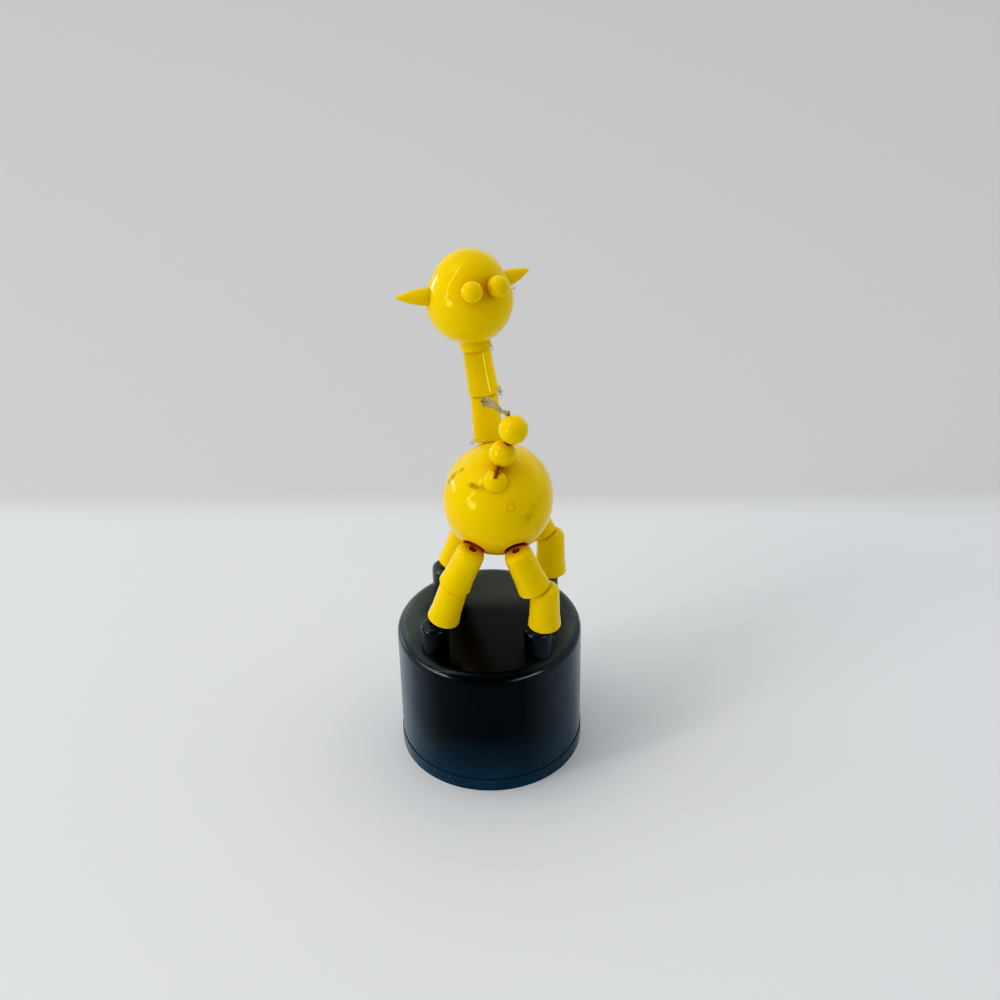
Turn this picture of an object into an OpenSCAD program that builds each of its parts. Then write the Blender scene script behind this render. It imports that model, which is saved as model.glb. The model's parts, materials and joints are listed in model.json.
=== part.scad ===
// Thumb push puppet: a yellow giraffe of thimble beads and balls, strung on a dark cup base.
// Millimetres, +Z up, origin at the centre of the base's foot. The body faces +Y.

/* [Base cup] */
// Outer diameter of the cup
base_d = 38; // [34:0.5:48]
// Height of the cup without its posts
base_h = 30; // [24:0.5:40]
// Thickness of the cup's side wall
base_wall = 1.6; // [1.2:0.1:2.4]
// Thickness of the cup's top
base_top_t = 2; // [1.6:0.1:3]
// Radius of the rounded top edge
base_round = 2; // [1:0.1:3]
// Height of the foot band
foot_h = 3; // [2:0.1:5]
// How far the foot band stands out
foot_out = 0.15; // [0.1:0.05:1]
// Distance of each post from the middle, across the animal
post_x = 10.45; // [9.8:0.05:12]
// Shift of all four posts to the animal's right
post_shift = 0.45; // [0:0.05:0.8]
// Distance of each post from the middle, along the animal
post_y = 10; // [9:0.05:11]
// Diameter of the posts
post_d = 5.6; // [5:0.1:6.4]
// Height of the posts
post_h = 6.4; // [4:0.1:8]
// Radius of the posts' rounded top edge
post_round = 1; // [0.5:0.1:1.6]

/* [Thumb button] */
// Depth of the button's face inside the foot
button_recess = 5; // [4.5:0.1:7]
// Thickness of the button's plate
button_t = 2.2; // [1.8:0.1:3]
// Height of the button's rim
button_rim_h = 6; // [4:0.1:8]
// Gap between the button's rim and the cup
button_clear = 0.3; // [0.2:0.05:0.6]
// Travel of the button up to its stop
button_travel = 5; // [3:0.5:5.5]
// Distance of each string anchor from the button's middle
anchor_r = 8.2; // [7.5:0.1:10]

/* [Return spring] */
// Outer diameter of the spring
spring_d = 10; // [8.8:0.1:12]
// Diameter of the spring's wire
wire_d = 0.9; // [0.6:0.1:1.2]
// Number of curls
spring_turns = 7; // [5:1:9]

/* [String] */
// Diameter of the string
string_d = 0.8; // [0.5:0.05:1]
// Diameter of the holes that the string runs through
string_bore_d = 1.6; // [1.2:0.1:2]

/* [Leg beads] */
// Length of a leg bead
leg_len = 9.8; // [8.5:0.05:12]
// Diameter at the shoulder of a leg bead
leg_top_d = 5.7; // [5.3:0.1:6]
// Diameter of the lip of a leg bead
leg_lip_d = 6.6; // [6.5:0.1:7.2]
// Wall of the thimble's mouth
bead_wall = 0.6; // [0.5:0.05:0.8]
// Radius of a bead's rounded shoulder
bead_round = 1.5; // [1:0.1:1.8]
// Slack that lets the straight left legs sit loosely
leg_slack = 0.03; // [0.02:0.01:0.3]

/* [Body] */
// Diameter of the ball body
body_d = 21.7; // [20.5:0.1:26]
// Extra length of the body along the animal
body_band = 1.5; // [0.4:0.1:2]
// Thickness of the body shells
body_wall = 1.3; // [1:0.1:2]
// Lean of the body to the animal's right
body_shift = 2.4; // [1.5:0.1:3]
// Half the distance between left and right hips
hip_x = 4.2; // [3.8:0.1:5]
// Half the distance between front and rear hips
hip_y = 9.9; // [9:0.1:10.6]
// Distance from the shell to the middle of a leg's top
hip_seat = 0.62; // [0.6:0.02:1.6]

/* [Neck and head] */
// Length of a neck bead
neck_len = 9.8; // [8.5:0.1:12]
// Diameter at the shoulder of a neck bead
neck_top_d = 5.5; // [5.2:0.1:5.8]
// Diameter of the lip of a neck bead
neck_lip_d = 6.2; // [6.1:0.1:6.6]
// Width of the head
head_w = 17; // [15:0.1:19]
// How much taller than wide the head is
head_tall = 1.8; // [0.5:0.1:4]
// How much narrower the crown is than the head
crown_taper = 2.9; // [2:0.1:4.5]
// Thickness of the head shells
head_wall = 1.2; // [1:0.1:1.8]
// Turn of the head to the animal's left
head_yaw = 29; // [-45:1:45]
// Diameter of the round nose
nose_d = 8.6; // [7:0.1:10]
// Distance from the side of the head to the middle of the nose
nose_out = 5.5; // [2.5:0.1:6.5]
// Diameter of the horn balls
horn_d = 4.2; // [3.4:0.1:5]
// Half the distance between the horn balls
horn_x = 2.65; // [2.3:0.05:3.5]
// Length of an ear outside the head
ear_len = 6; // [3.5:0.1:8.5]
// Height of an ear where it leaves the head
ear_w = 3.6; // [3:0.1:5]

/* [Tail] */
// Diameter of the tail's stub
stub_d = 4.9; // [4.2:0.1:5.4]
// Length of the stub outside the body
stub_len = 1.7; // [1.5:0.1:3]
// Diameter of the inner tail ball
tail_in_d = 5.3; // [4.6:0.1:6]
// Diameter of the outer tail ball
tail_out_d = 5.7; // [4.8:0.1:6.4]

/* [Hidden] */

YELLOW = "gold";
NAVY = "#1c2428";
CORD = "#a39a88";
STEEL = "silver";
$fn = 64;

// Small gap left between two pieces on different bodies
part_gap = 0.1;
// Past this much a cutting solid clears the face it cuts
cut = 1;

function unit(v) = v / norm(v);
// Direction of a piece that leans so many degrees to +X and to +Y from upright
function lean(x, y) = unit([tan(x), tan(y), 1]);
// Part of v that is square to the direction d
function square_to(v, d) = v - (v * d) * d;

// Base
base_r = base_d / 2;
base_in_r = base_r - base_wall;
base_in_round = 1;
base_in_h = base_h - base_top_t;
post_top = base_h + post_h;
bore_r = string_bore_d / 2;
string_r = string_d / 2;

// Button
button_r = base_in_r - button_clear;
button_top = button_recess + button_t;
rim_wall = 1.2;
dish_r = 59;
dish_depth = 1;
knot_r = 1.1;
knot_z = button_recess + 0.3;
knot_pocket_gap = 0.3;
knot_pocket_h = 1.4;
function anchor(i) = [LEGS[i][0], LEGS[i][1]] * anchor_r / sqrt(2);

// Spring
spring_in_r = spring_d / 2 - wire_d;
spring_seat_gap = 0.05;
// Two bosses centre the spring, and meet at the end of the button's travel
boss_r = spring_in_r - button_clear;
stop_gap = 0.05;
boss_h = (base_in_h - button_top - button_travel - stop_gap) / 2;

// Beads: how much wider the thimble is above its lip than at its shoulder
bead_draft = 0.4;
lip_h = 0.35;
lip_edge = 0.1;
flare_h = 2.6;
top_wall = 2.2;
mouth_h = 0.2;
mouth_taper = 0.25;

// Legs, one row each: side, end, foot slip across and along, knee slip across, foot rise, knee drop
REAR_LEFT = 0;
REAR_RIGHT = 1;
FRONT_LEFT = 2;
FRONT_RIGHT = 3;
LEGS = [[-1, -1, 1.75, 1.25, -0.18, 0.55, -0.53],
        [1, -1, 1.15, 1.2, -2.1, 0.12, -0.65],
        [-1, 1, 1.75, 0.4, -0.18, 0.55, -0.56],
        [1, 1, 1.25, -0.8, -2.1, 0.14, -0.65]];
body_y = 0.3;
function post(i) = [LEGS[i][0] * post_x + post_shift, LEGS[i][1] * post_y, post_top];
function foot(i) = post(i) + [LEGS[i][2], LEGS[i][3], LEGS[i][5]];
function knee_slip(i) = [LEGS[i][4], 0, LEGS[i][6]];
// Half the length of the body's straight middle band shifts each half ball outwards
body_r = body_d / 2;
half_band = body_band / 2;
hip_flat = sqrt(pow(body_r + hip_seat, 2) - pow(hip_x, 2) - pow(hip_y - half_band, 2));
// The left rear leg is straight, and sets the height of all four hips
leg_reach = 2 * leg_len - leg_slack;
left_start = foot(REAR_LEFT) + knee_slip(REAR_LEFT);
straight = [body_shift - hip_x, body_y - hip_y] - [left_start.x, left_start.y];
hip_z = left_start.z + sqrt(pow(leg_reach, 2) - straight * straight);
body_c = [body_shift, body_y, hip_z + hip_flat];
function hip(i) = [body_shift + LEGS[i][0] * hip_x, body_y + LEGS[i][1] * hip_y, hip_z];
// Law of cosines: where the lower bead's top lies so that both beads reach from foot to hip
function knee(i) =
    let (a = foot(i) + knee_slip(i), span = hip(i) - a, d = norm(span), u = span / d,
         along = d / 2, out = unit(square_to([LEGS[i][0], 0, 0], u)),
         side = sqrt(max(0, leg_len * leg_len - along * along)))
    a + along * u + side * out - knee_slip(i);
function lower_dir(i) = unit(knee(i) - foot(i));
function upper_foot(i) = knee(i) + knee_slip(i);
function upper_dir(i) = unit(hip(i) - upper_foot(i));
// A leg turns about the middle of its shoulder's rounding, so its pocket is a ball round that point
hip_gap = 0.15;
hip_pocket_r = leg_top_d / 2 + hip_gap;
function hip_pivot(i) = hip(i) - bead_round * upper_dir(i);

// Middles of the two half balls
front_c = body_c + [0, half_band, 0];
rear_c = body_c - [0, half_band, 0];

// The strings of all four hips gather at one knot below the neck
neck_seat_dir = unit([-2.23, 6.38, 8.87]);
gather_up = 3;
gather_r = 1.3;
gather = front_c + gather_up * neck_seat_dir;
function hip_up(i) = unit(gather - hip_pivot(i));

// Neck: seat on the body, then each bead stands on the one below
neck_seat = 0.3;
neck_dirs = [lean(-8, 23), lean(-9.5, 12.2), lean(-6.5, 3)];
neck_nest = [0.2, 0.26];
neck_foot_1 = front_c + (body_r + neck_seat) * neck_seat_dir;
neck_foot_2 = neck_foot_1 + (neck_len - neck_nest[0]) * neck_dirs[0];
neck_foot_3 = neck_foot_2 + (neck_len - neck_nest[1]) * neck_dirs[1];
neck_feet = [neck_foot_1, neck_foot_2, neck_foot_3];
function neck_top(i) = neck_feet[i] + neck_len * neck_dirs[i];

// Head
collar_show = 2.2;
head_r = head_w / 2;
head_h = head_w + head_tall;
crown_w = head_w - crown_taper;
crown_rise = head_h - head_w / 2 - crown_w / 2;
head_lift = 2.45;
head_rise = head_r + head_lift;
head_c = neck_feet[2] + head_rise * neck_dirs[2];
jaw_c = head_c + [0.2, 0, -1.15];
socket_gap = 0.06;
socket_wall = 1.2;
socket_r = neck_top_d / 2 + bead_draft / 2 + socket_gap;
socket_rise = 0.4;
nose_reach = head_r + nose_out;
nose_pitch = 32;
muzzle_inset = 1.5;
nose_dir = [0, cos(nose_pitch), -sin(nose_pitch)];
// How much closer to the head's middle than its side a horn lies, towards the rear and upwards
horn_in = 0.2;
horn_down = 3.6;
horn_peg_r = 0.9;
horn_peg_from = 0.62;
ear_sweep = 10;
ear_lift = 5;
ear_peg_d = 2;
ear_peg_len = 4;
ear_peg_in = 2.9;
ear_root = head_r - ear_peg_in;
ear_sink = 1;
ear_blunt = 0.3;
ear_dish_r = 5;
ear_dish_off = 5.5;
head_fit = 0.05;

// Tail
stub_dir = unit([0.02, -0.6, 0.8]);
stub_end = rear_c + (body_r + stub_len) * stub_dir;
tail_in_r = tail_in_d / 2;
tail_out_r = tail_out_d / 2;
tail_in_dir = unit([1.2, 4, 3.1]);
tail_in_c = stub_end + (stub_d / 2 + tail_in_r + part_gap) * tail_in_dir;
tail_up = unit([2.1, 0.34, 5.18]);
tail_out_c = tail_in_c + (tail_in_r + tail_out_r + part_gap) * tail_up;
tail_bore_dir = unit([-0.35, 0.45, 0.8]);
stub_peg_d = 3.2;
stub_round = stub_d / 2 - 0.05;
stub_cavity_r = 1;
stub_turn_in = 1.5;
stub_peg_in = 1;
stub_inside = 0.5;
stub_root = 1;
stub_fit = 0.02;
stub_turn = stub_end - stub_turn_in * stub_dir;
tail_string_in = 0.3;
peg_gap = 0.05;

// Strings: a bend is a small ball, and an end stops short of the next length's end
bend_r = 1.3 * string_r;
string_gap = 0.2;
string_start = 0.5;
string_drift = 0.3;
post_string_z = base_in_h + 0.7;

// Puts the +Z axis of its children along d, from the point p
module aim(p, d) {
    translate(p) rotate([0, acos(d.z), atan2(d.y, d.x)]) children();
}

// Round rod from p to q
module rod(p, q, r) {
    aim(p, unit(q - p)) cylinder(r = r, h = norm(q - p), $fn = 24);
}

// Outline of a rounded post or bead top for rotate_extrude: radius r, height h, edge radius f
module round_top(r, h, f) {
    square([r, h - f]);
    square([r - f, h]);
    intersection() {
        translate([r - f, h - f]) circle(f);
        square([r, h]);
    }
}

module base_cup() color(NAVY) difference() {
    union() {
        rotate_extrude($fn = 128) difference() {
            union() {
                round_top(base_r, base_h, base_round);
                square([base_r + foot_out, foot_h]);
            }
            translate([0, -cut]) round_top(base_in_r, base_in_h + cut, base_in_round);
        }
        for (i = [0:3])
            translate([post(i).x, post(i).y, base_h - base_top_t / 2])
                rotate_extrude() round_top(post_d / 2, post_h + base_top_t / 2, post_round);
        translate([0, 0, base_in_h - boss_h]) cylinder(r = boss_r, h = boss_h + base_top_t / 2);
    }
    for (i = [0:3])
        translate([post(i).x, post(i).y, base_in_h - cut])
            cylinder(d = string_bore_d, h = base_top_t + post_h + 2 * cut, $fn = 32);
}

module thumb_button() color(NAVY) difference() {
    union() {
        translate([0, 0, button_recess]) rotate_extrude($fn = 128) difference() {
            square([button_r, button_rim_h]);
            translate([0, button_t]) square([button_r - rim_wall, button_rim_h]);
        }
        translate([0, 0, button_recess]) cylinder(r = boss_r, h = button_t + boss_h);
    }
    // Shallow dish for the thumb
    translate([0, 0, button_recess + dish_depth - dish_r]) sphere(r = dish_r, $fn = 128);
    for (i = [0:3]) translate([anchor(i).x, anchor(i).y, button_recess - cut]) {
        cylinder(d = string_bore_d, h = button_t + 2 * cut, $fn = 32);
        cylinder(r = knot_r + knot_pocket_gap, h = cut + knot_pocket_h, $fn = 32);
    }
}

// Points round the wire at each step of the coil
coil_rings = 8;
coil_steps = coil_rings * spring_turns;
coil_sides = 6;
coil_r = spring_d / 2 - wire_d / 2;
coil_low = button_top + spring_seat_gap + wire_d / 2;
coil_high = base_in_h - spring_seat_gap - wire_d / 2;
coil_pitch = (coil_high - coil_low) / spring_turns;
function coil_point(k, j) =
    let (turn = 360 * k / coil_rings, side = 360 * j / coil_sides, out = coil_r + wire_d / 2 * cos(side))
    [out * cos(turn), out * sin(turn), coil_low + coil_pitch * k / coil_rings + wire_d / 2 * sin(side)];
coil_points = [for (k = [0:coil_steps], j = [0:coil_sides - 1]) coil_point(k, j)];
function ring_start(k) = k * coil_sides;
coil_faces = concat(
    [for (k = [0:coil_steps - 1], j = [0:coil_sides - 1])
        let (n = (j + 1) % coil_sides)
        [ring_start(k) + j, ring_start(k + 1) + j, ring_start(k + 1) + n]],
    [for (k = [0:coil_steps - 1], j = [0:coil_sides - 1])
        let (n = (j + 1) % coil_sides)
        [ring_start(k) + j, ring_start(k + 1) + n, ring_start(k) + n]],
    [for (j = [1:coil_sides - 2]) [0, j, j + 1]],
    [for (j = [1:coil_sides - 2]) let (e = ring_start(coil_steps)) [e, e + j + 1, e + j]]);
coil_gap = min([for (k = [0:coil_steps - coil_rings], j = [0:coil_sides - 1], m = [0:coil_sides - 1])
    norm(coil_point(k, j) - coil_point(k + coil_rings, m))]);
echo(least_gap_between_curls = coil_gap);

module return_spring() color(STEEL) polyhedron(coil_points, coil_faces);

// Stretches from the button's anchors to the holes under the posts
module button_strings() color(CORD) for (i = [0:3]) {
    start = [anchor(i).x, anchor(i).y, knot_z + knot_r + string_gap];
    bend = [anchor(i).x, anchor(i).y, button_top + string_r];
    union() {
        rod(start, bend, string_r);
        translate(bend) sphere(r = bend_r, $fn = 24);
        rod(bend, [post(i).x, post(i).y, base_in_h], string_r);
    }
}

module string_knots() color(CORD) for (i = [0:3])
    translate([anchor(i).x, anchor(i).y, knot_z]) sphere(r = knot_r, $fn = 32);

module post_strings() color(CORD) for (i = [0:3])
    translate([post(i).x, post(i).y, post_string_z])
        cylinder(r = string_r, h = post_top - post_string_z, $fn = 24);

// Thimble bead standing on its lip: open mouth below, rounded shoulder and string hole above
module bead(len, top_d, lip_d) {
    top_r = top_d / 2;
    lip_r = lip_d / 2;
    side_r = top_r + bead_draft / 2;
    mouth_r = lip_r - bead_wall;
    rotate_extrude() difference() {
        union() {
            polygon([[0, 0], [lip_r - lip_edge, 0], [lip_r, lip_edge], [lip_r, lip_h], [side_r, flare_h],
                     [top_r, len - bead_round], [0, len - bead_round]]);
            round_top(top_r, len, bead_round);
        }
        polygon([[0, -cut], [mouth_r, -cut], [mouth_r, mouth_h],
                 [top_r - bead_wall - mouth_taper, len - top_wall], [0, len - top_wall]]);
        square([bore_r, len + cut]);
    }
}

module lower_bead(i) color(YELLOW) aim(foot(i), lower_dir(i)) bead(leg_len, leg_top_d, leg_lip_d);
module upper_bead(i) color(YELLOW) aim(upper_foot(i), upper_dir(i)) bead(leg_len, leg_top_d, leg_lip_d);

// String from just above the hole below to the hole in the bead's own top
module lower_string(i) color(CORD)
    rod((post(i) + foot(i)) / 2 + [0, 0, string_start], knee(i), string_r);
module upper_string(i) color(CORD)
    rod(knee(i) + string_start * lower_dir(i) + string_drift * knee_slip(i), hip(i), string_r);

// Outline of the ball with its straight band: radius across, length along the animal
module ball_outline(r) intersection() {
    union() {
        for (s = [-1, 1]) translate([0, s * half_band]) circle(r, $fn = 96);
        translate([0, -half_band]) square([r, body_band]);
    }
    translate([0, -r - half_band]) square([r, 2 * r + body_band]);
}

// Turns an outline about the body's long axis: the outline's +Y is the rear
module about_body() translate(body_c) rotate([90, 0, 0]) rotate_extrude($fn = 96) children();

// The rear shell's tongue fits inside the front shell's rim
tongue = 1;
tongue_gap = 0.05;
tongue_root = 0.5;
tongue_r = body_r - body_wall / 2;
module half_shell_outline(s) intersection() {
    difference() {
        ball_outline(body_r);
        ball_outline(body_r - body_wall);
    }
    translate([0, s < 0 ? 0 : -2 * body_r]) square([body_r, 2 * body_r]);
}

// Pocket for a leg's shoulder, with the hole that its string runs through
module hip_cut(i) aim(hip_pivot(i), hip_up(i)) rotate_extrude() {
    intersection() {
        circle(hip_pocket_r);
        translate([0, -hip_pocket_r]) square([hip_pocket_r, 2 * hip_pocket_r]);
    }
    square([bore_r, hip_pocket_r + 2 * body_wall]);
}

module body_rear_shell() color(YELLOW) difference() {
    about_body() union() {
        half_shell_outline(-1);
        translate([body_r - body_wall, -tongue]) square([body_wall / 2 - tongue_gap, tongue + tongue_root]);
    }
    for (i = [REAR_LEFT, REAR_RIGHT]) hip_cut(i);
    rod(rear_c, stub_end, stub_peg_d / 2 + peg_gap);
}

module body_front_shell() color(YELLOW) difference() {
    about_body() difference() {
        half_shell_outline(1);
        translate([0, -tongue - tongue_gap]) square([tongue_r, tongue + cut]);
    }
    for (i = [FRONT_LEFT, FRONT_RIGHT]) hip_cut(i);
    rod(front_c, front_c + (body_r + cut) * neck_seat_dir, bore_r);
}

// Strings from the four hips and the tail gather in a knot below the neck hole
module string_to_knot(from) rod(from, gather + (gather_r - string_r) * unit(from - gather), string_r);
module body_strings() color(CORD) union() {
    for (i = [0:3]) string_to_knot(hip_pivot(i) + (leg_top_d / 2 + string_gap) * hip_up(i));
    string_to_knot(front_c + (body_r - string_gap) * neck_seat_dir);
    string_to_knot(rear_c + (body_r - body_wall - stub_inside - string_gap) * stub_dir);
    translate(gather) rotate([0, 0, 45]) sphere(r = gather_r, $fn = 32);
}

module neck_bead(i) color(YELLOW) aim(neck_feet[i], neck_dirs[i]) bead(neck_len, neck_top_d, neck_lip_d);
module neck_lower_string() color(CORD)
    rod(front_c + (body_r + string_start) * neck_seat_dir, neck_top(0), string_r);
module neck_upper_string() color(CORD)
    rod(neck_top(0) + string_start * neck_dirs[0], neck_top(1), string_r);
module collar_string() color(CORD) union() {
    rod(neck_top(1) + string_start * neck_dirs[1], neck_top(2) + string_gap * neck_dirs[2], string_r);
    translate(neck_top(2) + (knot_r + part_gap) * neck_dirs[2]) sphere(r = knot_r, $fn = 32);
}

// Puts its children in the head's own frame: +Y to the face, turned by the yaw
module in_head() translate(head_c) rotate([0, 0, head_yaw]) children();

// Egg of revolution: two balls, the crown's and the jaw's, with the cone that touches both
module egg(shrink) translate(jaw_c) rotate_extrude($fn = 96) {
    low = head_w / 2 - shrink;
    top = crown_w / 2 - shrink;
    tilt = asin((low - top) / crown_rise);
    intersection() {
        union() {
            circle(low, $fn = 128);
            translate([0, crown_rise]) circle(top, $fn = 128);
        }
        translate([0, -low]) square([low, 2 * low + head_h]);
    }
    polygon([[0, low * sin(tilt)], [low * cos(tilt), low * sin(tilt)],
             [top * cos(tilt), crown_rise + top * sin(tilt)], [0, crown_rise + top * sin(tilt)]]);
}

// Cone that ends in the round nose, from the middle of the head
module muzzle(shrink) in_head() aim([0, 0, 0], nose_dir) rotate_extrude($fn = 96) {
    root_r = head_r - muzzle_inset - shrink;
    tip_r = nose_d / 2 - shrink;
    tilt = asin((root_r - tip_r) / nose_reach);
    polygon([[0, 0], [root_r / cos(tilt), 0], [tip_r * cos(tilt), nose_reach + tip_r * sin(tilt)],
             [0, nose_reach + tip_r * sin(tilt)]]);
    intersection() {
        translate([0, nose_reach]) circle(tip_r, $fn = 96);
        translate([0, nose_reach - tip_r]) square([tip_r, 2 * tip_r]);
    }
}

// Neck socket, along the collar bead, in the same frame as the beads
module socket(r, from, to) aim(neck_feet[2] + from * neck_dirs[2], neck_dirs[2])
    cylinder(r = r, h = to - from);

module head_shell() difference() {
    union() {
        difference() {
            union() {
                egg(0);
                muzzle(0);
            }
            egg(head_wall);
            muzzle(head_wall);
        }
        intersection() {
            socket(socket_r + socket_wall, collar_show, neck_len + socket_rise);
            egg(head_wall / 2);
        }
    }
    socket(socket_r, -cut, neck_len + cut);
    in_head() for (s = [-1, 1]) {
        horn_peg(s, head_fit);
        ear_peg(s, head_fit);
    }
}

// Half of the head's own space: rear for -1, face side for 1
module head_half(s) in_head() translate([-head_h, s < 0 ? -2 * head_h : 0, -head_h]) cube(2 * head_h);
module head_rear_shell() color(YELLOW) intersection() {
    head_shell();
    head_half(-1);
}
module head_front_shell() color(YELLOW) intersection() {
    head_shell();
    head_half(1);
}

function ear_dir(s) = unit([s * cos(ear_sweep), sin(ear_sweep), tan(ear_lift)]);
module ear_peg(s, grow) aim(ear_dir(s) * ear_root, ear_dir(s))
    cylinder(d = ear_peg_d + 2 * grow, h = ear_peg_len, $fn = 32);

// Pointed leaf of revolution with a blunt tip, dished on the side of the face
module ear(s) color(YELLOW) in_head() {
    half = ear_len + ear_sink;
    arc_r = (half * half + pow(ear_w / 2, 2)) / ear_w;
    ear_peg(s, 0);
    difference() {
        aim(ear_dir(s) * (head_r - ear_sink), ear_dir(s)) rotate_extrude() intersection() {
            translate([ear_w / 2 - arc_r, 0]) circle(arc_r, $fn = 192);
            square([ear_w, half - ear_blunt]);
        }
        rotate([0, 0, -head_yaw]) translate(jaw_c - head_c) sphere(r = head_r + head_fit, $fn = 96);
        translate(ear_dir(s) * (head_r + half / 3) + [0, ear_dish_off, 0]) sphere(r = ear_dish_r);
    }
}

function horn_c(s) = [s * horn_x, horn_in - head_r, head_r - horn_down];
module horn_peg(s, grow) {
    c = horn_c(s);
    rod(horn_peg_from * c, c, horn_peg_r + grow);
}
module horn(s) color(YELLOW) in_head() {
    horn_peg(s, 0);
    translate(horn_c(s)) sphere(d = horn_d);
}

// Stub in the rear shell, with a rounded rim and a peg through the wall
module tail_stub() color(YELLOW) difference() {
    union() {
        difference() {
            aim(rear_c + (body_r - stub_root) * stub_dir, stub_dir)
                rotate_extrude() round_top(stub_d / 2, stub_len + stub_root, stub_round);
            about_body() ball_outline(body_r + stub_fit);
        }
        rod(rear_c + (body_r - body_wall - stub_inside) * stub_dir, stub_end - stub_peg_in * stub_dir,
            stub_peg_d / 2);
    }
    rod(rear_c, stub_turn, bore_r);
    translate(stub_turn) rotate([0, 0, 45]) sphere(r = stub_cavity_r, $fn = 32);
    rod(stub_turn, tail_in_c, bore_r);
}

module tail_ball(c, r, d) color(YELLOW) aim(c, d) rotate_extrude() difference() {
    intersection() {
        circle(r);
        translate([0, -r]) square([r, 2 * r]);
    }
    translate([0, -r - cut]) square([bore_r, 2 * (r + cut)]);
}
module tail_inner_string() color(CORD)
    rod(tail_in_c - (tail_in_r - tail_string_in) * tail_up, tail_in_c + tail_in_r * tail_up, string_r);

// String through the outer ball, knotted there; its loose end falls forward onto the neck
thread_knot_r = 0.7;
thread_knot = tail_out_c + (tail_out_r + thread_knot_r) * tail_bore_dir;
thread_end = thread_knot + [-3.2, 2.5, 0.7];
module tail_thread() color(CORD) union() {
    rod(tail_out_c - (tail_out_r - tail_string_in) * tail_bore_dir, thread_knot, string_r);
    translate(thread_knot) rotate([0, 0, 45]) sphere(r = thread_knot_r, $fn = 32);
    rod(thread_knot, thread_end, string_r);
}

echo(feet = [for (i = [0:3]) foot(i)], knees = [for (i = [0:3]) knee(i)]);
echo(upper_feet = [for (i = [0:3]) upper_foot(i)]);
echo(hips = [for (i = [0:3]) hip(i)], hip_pivots = [for (i = [0:3]) hip_pivot(i)], body_c = body_c);
echo(neck_feet = neck_feet, neck_dirs = neck_dirs, neck_tops = [for (i = [0:2]) neck_top(i)]);
echo(head_c = head_c);
echo(stub_end = stub_end, tail_in_c = tail_in_c, tail_out_c = tail_out_c);

base_cup();
thumb_button();
return_spring();
button_strings();
string_knots();
post_strings();
lower_bead(REAR_LEFT);  // rear_left_lower_bead
upper_bead(REAR_LEFT);  // rear_left_upper_bead
lower_bead(REAR_RIGHT);  // rear_right_lower_bead
upper_bead(REAR_RIGHT);  // rear_right_upper_bead
lower_bead(FRONT_LEFT);  // front_left_lower_bead
upper_bead(FRONT_LEFT);  // front_left_upper_bead
lower_bead(FRONT_RIGHT);  // front_right_lower_bead
upper_bead(FRONT_RIGHT);  // front_right_upper_bead
lower_string(REAR_LEFT);  // rear_left_lower_string
upper_string(REAR_LEFT);  // rear_left_upper_string
lower_string(REAR_RIGHT);  // rear_right_lower_string
upper_string(REAR_RIGHT);  // rear_right_upper_string
lower_string(FRONT_LEFT);  // front_left_lower_string
upper_string(FRONT_LEFT);  // front_left_upper_string
lower_string(FRONT_RIGHT);  // front_right_lower_string
upper_string(FRONT_RIGHT);  // front_right_upper_string
body_rear_shell();
body_front_shell();
body_strings();
neck_bead(0);  // neck_lower_bead
neck_bead(1);  // neck_upper_bead
neck_bead(2);  // neck_collar_bead
neck_lower_string();
neck_upper_string();
collar_string();
head_rear_shell();
head_front_shell();
ear(-1);  // ear_left
ear(1);  // ear_right
horn(-1);  // horn_left
horn(1);  // horn_right
tail_stub();
tail_ball(tail_in_c, tail_in_r, tail_up);  // tail_inner_ball
tail_ball(tail_out_c, tail_out_r, tail_bore_dir);  // tail_outer_ball
tail_inner_string();
tail_thread();
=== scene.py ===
import json
import math
import random

import bmesh
import bpy
from mathutils import Matrix, Vector, noise as mnoise


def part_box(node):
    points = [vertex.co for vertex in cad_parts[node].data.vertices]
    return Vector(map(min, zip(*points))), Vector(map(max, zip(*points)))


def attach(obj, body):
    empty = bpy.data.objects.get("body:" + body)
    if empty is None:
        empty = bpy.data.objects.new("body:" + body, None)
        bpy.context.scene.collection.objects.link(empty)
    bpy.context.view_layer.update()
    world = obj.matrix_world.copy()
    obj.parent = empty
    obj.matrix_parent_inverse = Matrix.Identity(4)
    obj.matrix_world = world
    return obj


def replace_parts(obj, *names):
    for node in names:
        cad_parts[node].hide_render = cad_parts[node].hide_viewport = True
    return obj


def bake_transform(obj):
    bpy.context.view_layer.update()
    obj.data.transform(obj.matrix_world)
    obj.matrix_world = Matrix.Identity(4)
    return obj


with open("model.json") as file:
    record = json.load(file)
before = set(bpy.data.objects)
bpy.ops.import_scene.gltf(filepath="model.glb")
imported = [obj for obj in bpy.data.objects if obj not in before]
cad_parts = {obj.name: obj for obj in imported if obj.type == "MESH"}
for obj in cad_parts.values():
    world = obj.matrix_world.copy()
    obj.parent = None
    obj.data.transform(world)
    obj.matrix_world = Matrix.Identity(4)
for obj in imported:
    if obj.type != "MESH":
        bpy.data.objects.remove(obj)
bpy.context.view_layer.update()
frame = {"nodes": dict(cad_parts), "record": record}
MM = 0.001
TURN = 2 * math.pi
rng = random.Random(7)
BODY_OF = {n: b for b, ns in frame["record"]["behaviour"]["bodies"].items() for n in ns}


# Camera: position, roll and focal length of the photograph's camera, as fitted to the object
FOCAL_PX = 1700.0
IMAGE_PX = 1000.0
SENSOR_MM = 36.0
ELEVATION = math.radians(34.02)
ROLL = math.radians(-1.19)
AZIMUTH = math.radians(5.5)
DISTANCE = 335.4 * MM
AIM_RIGHT = 2.76 * MM
AIM_UP = 59.83 * MM
# Brightness in and out, both from 0 to 1: the blacks sink below a short toe
TONE_CURVE = ((0.02, 0.003), (0.07, 0.035), (0.13, 0.115), (0.2, 0.197), (0.4, 0.4))


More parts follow.
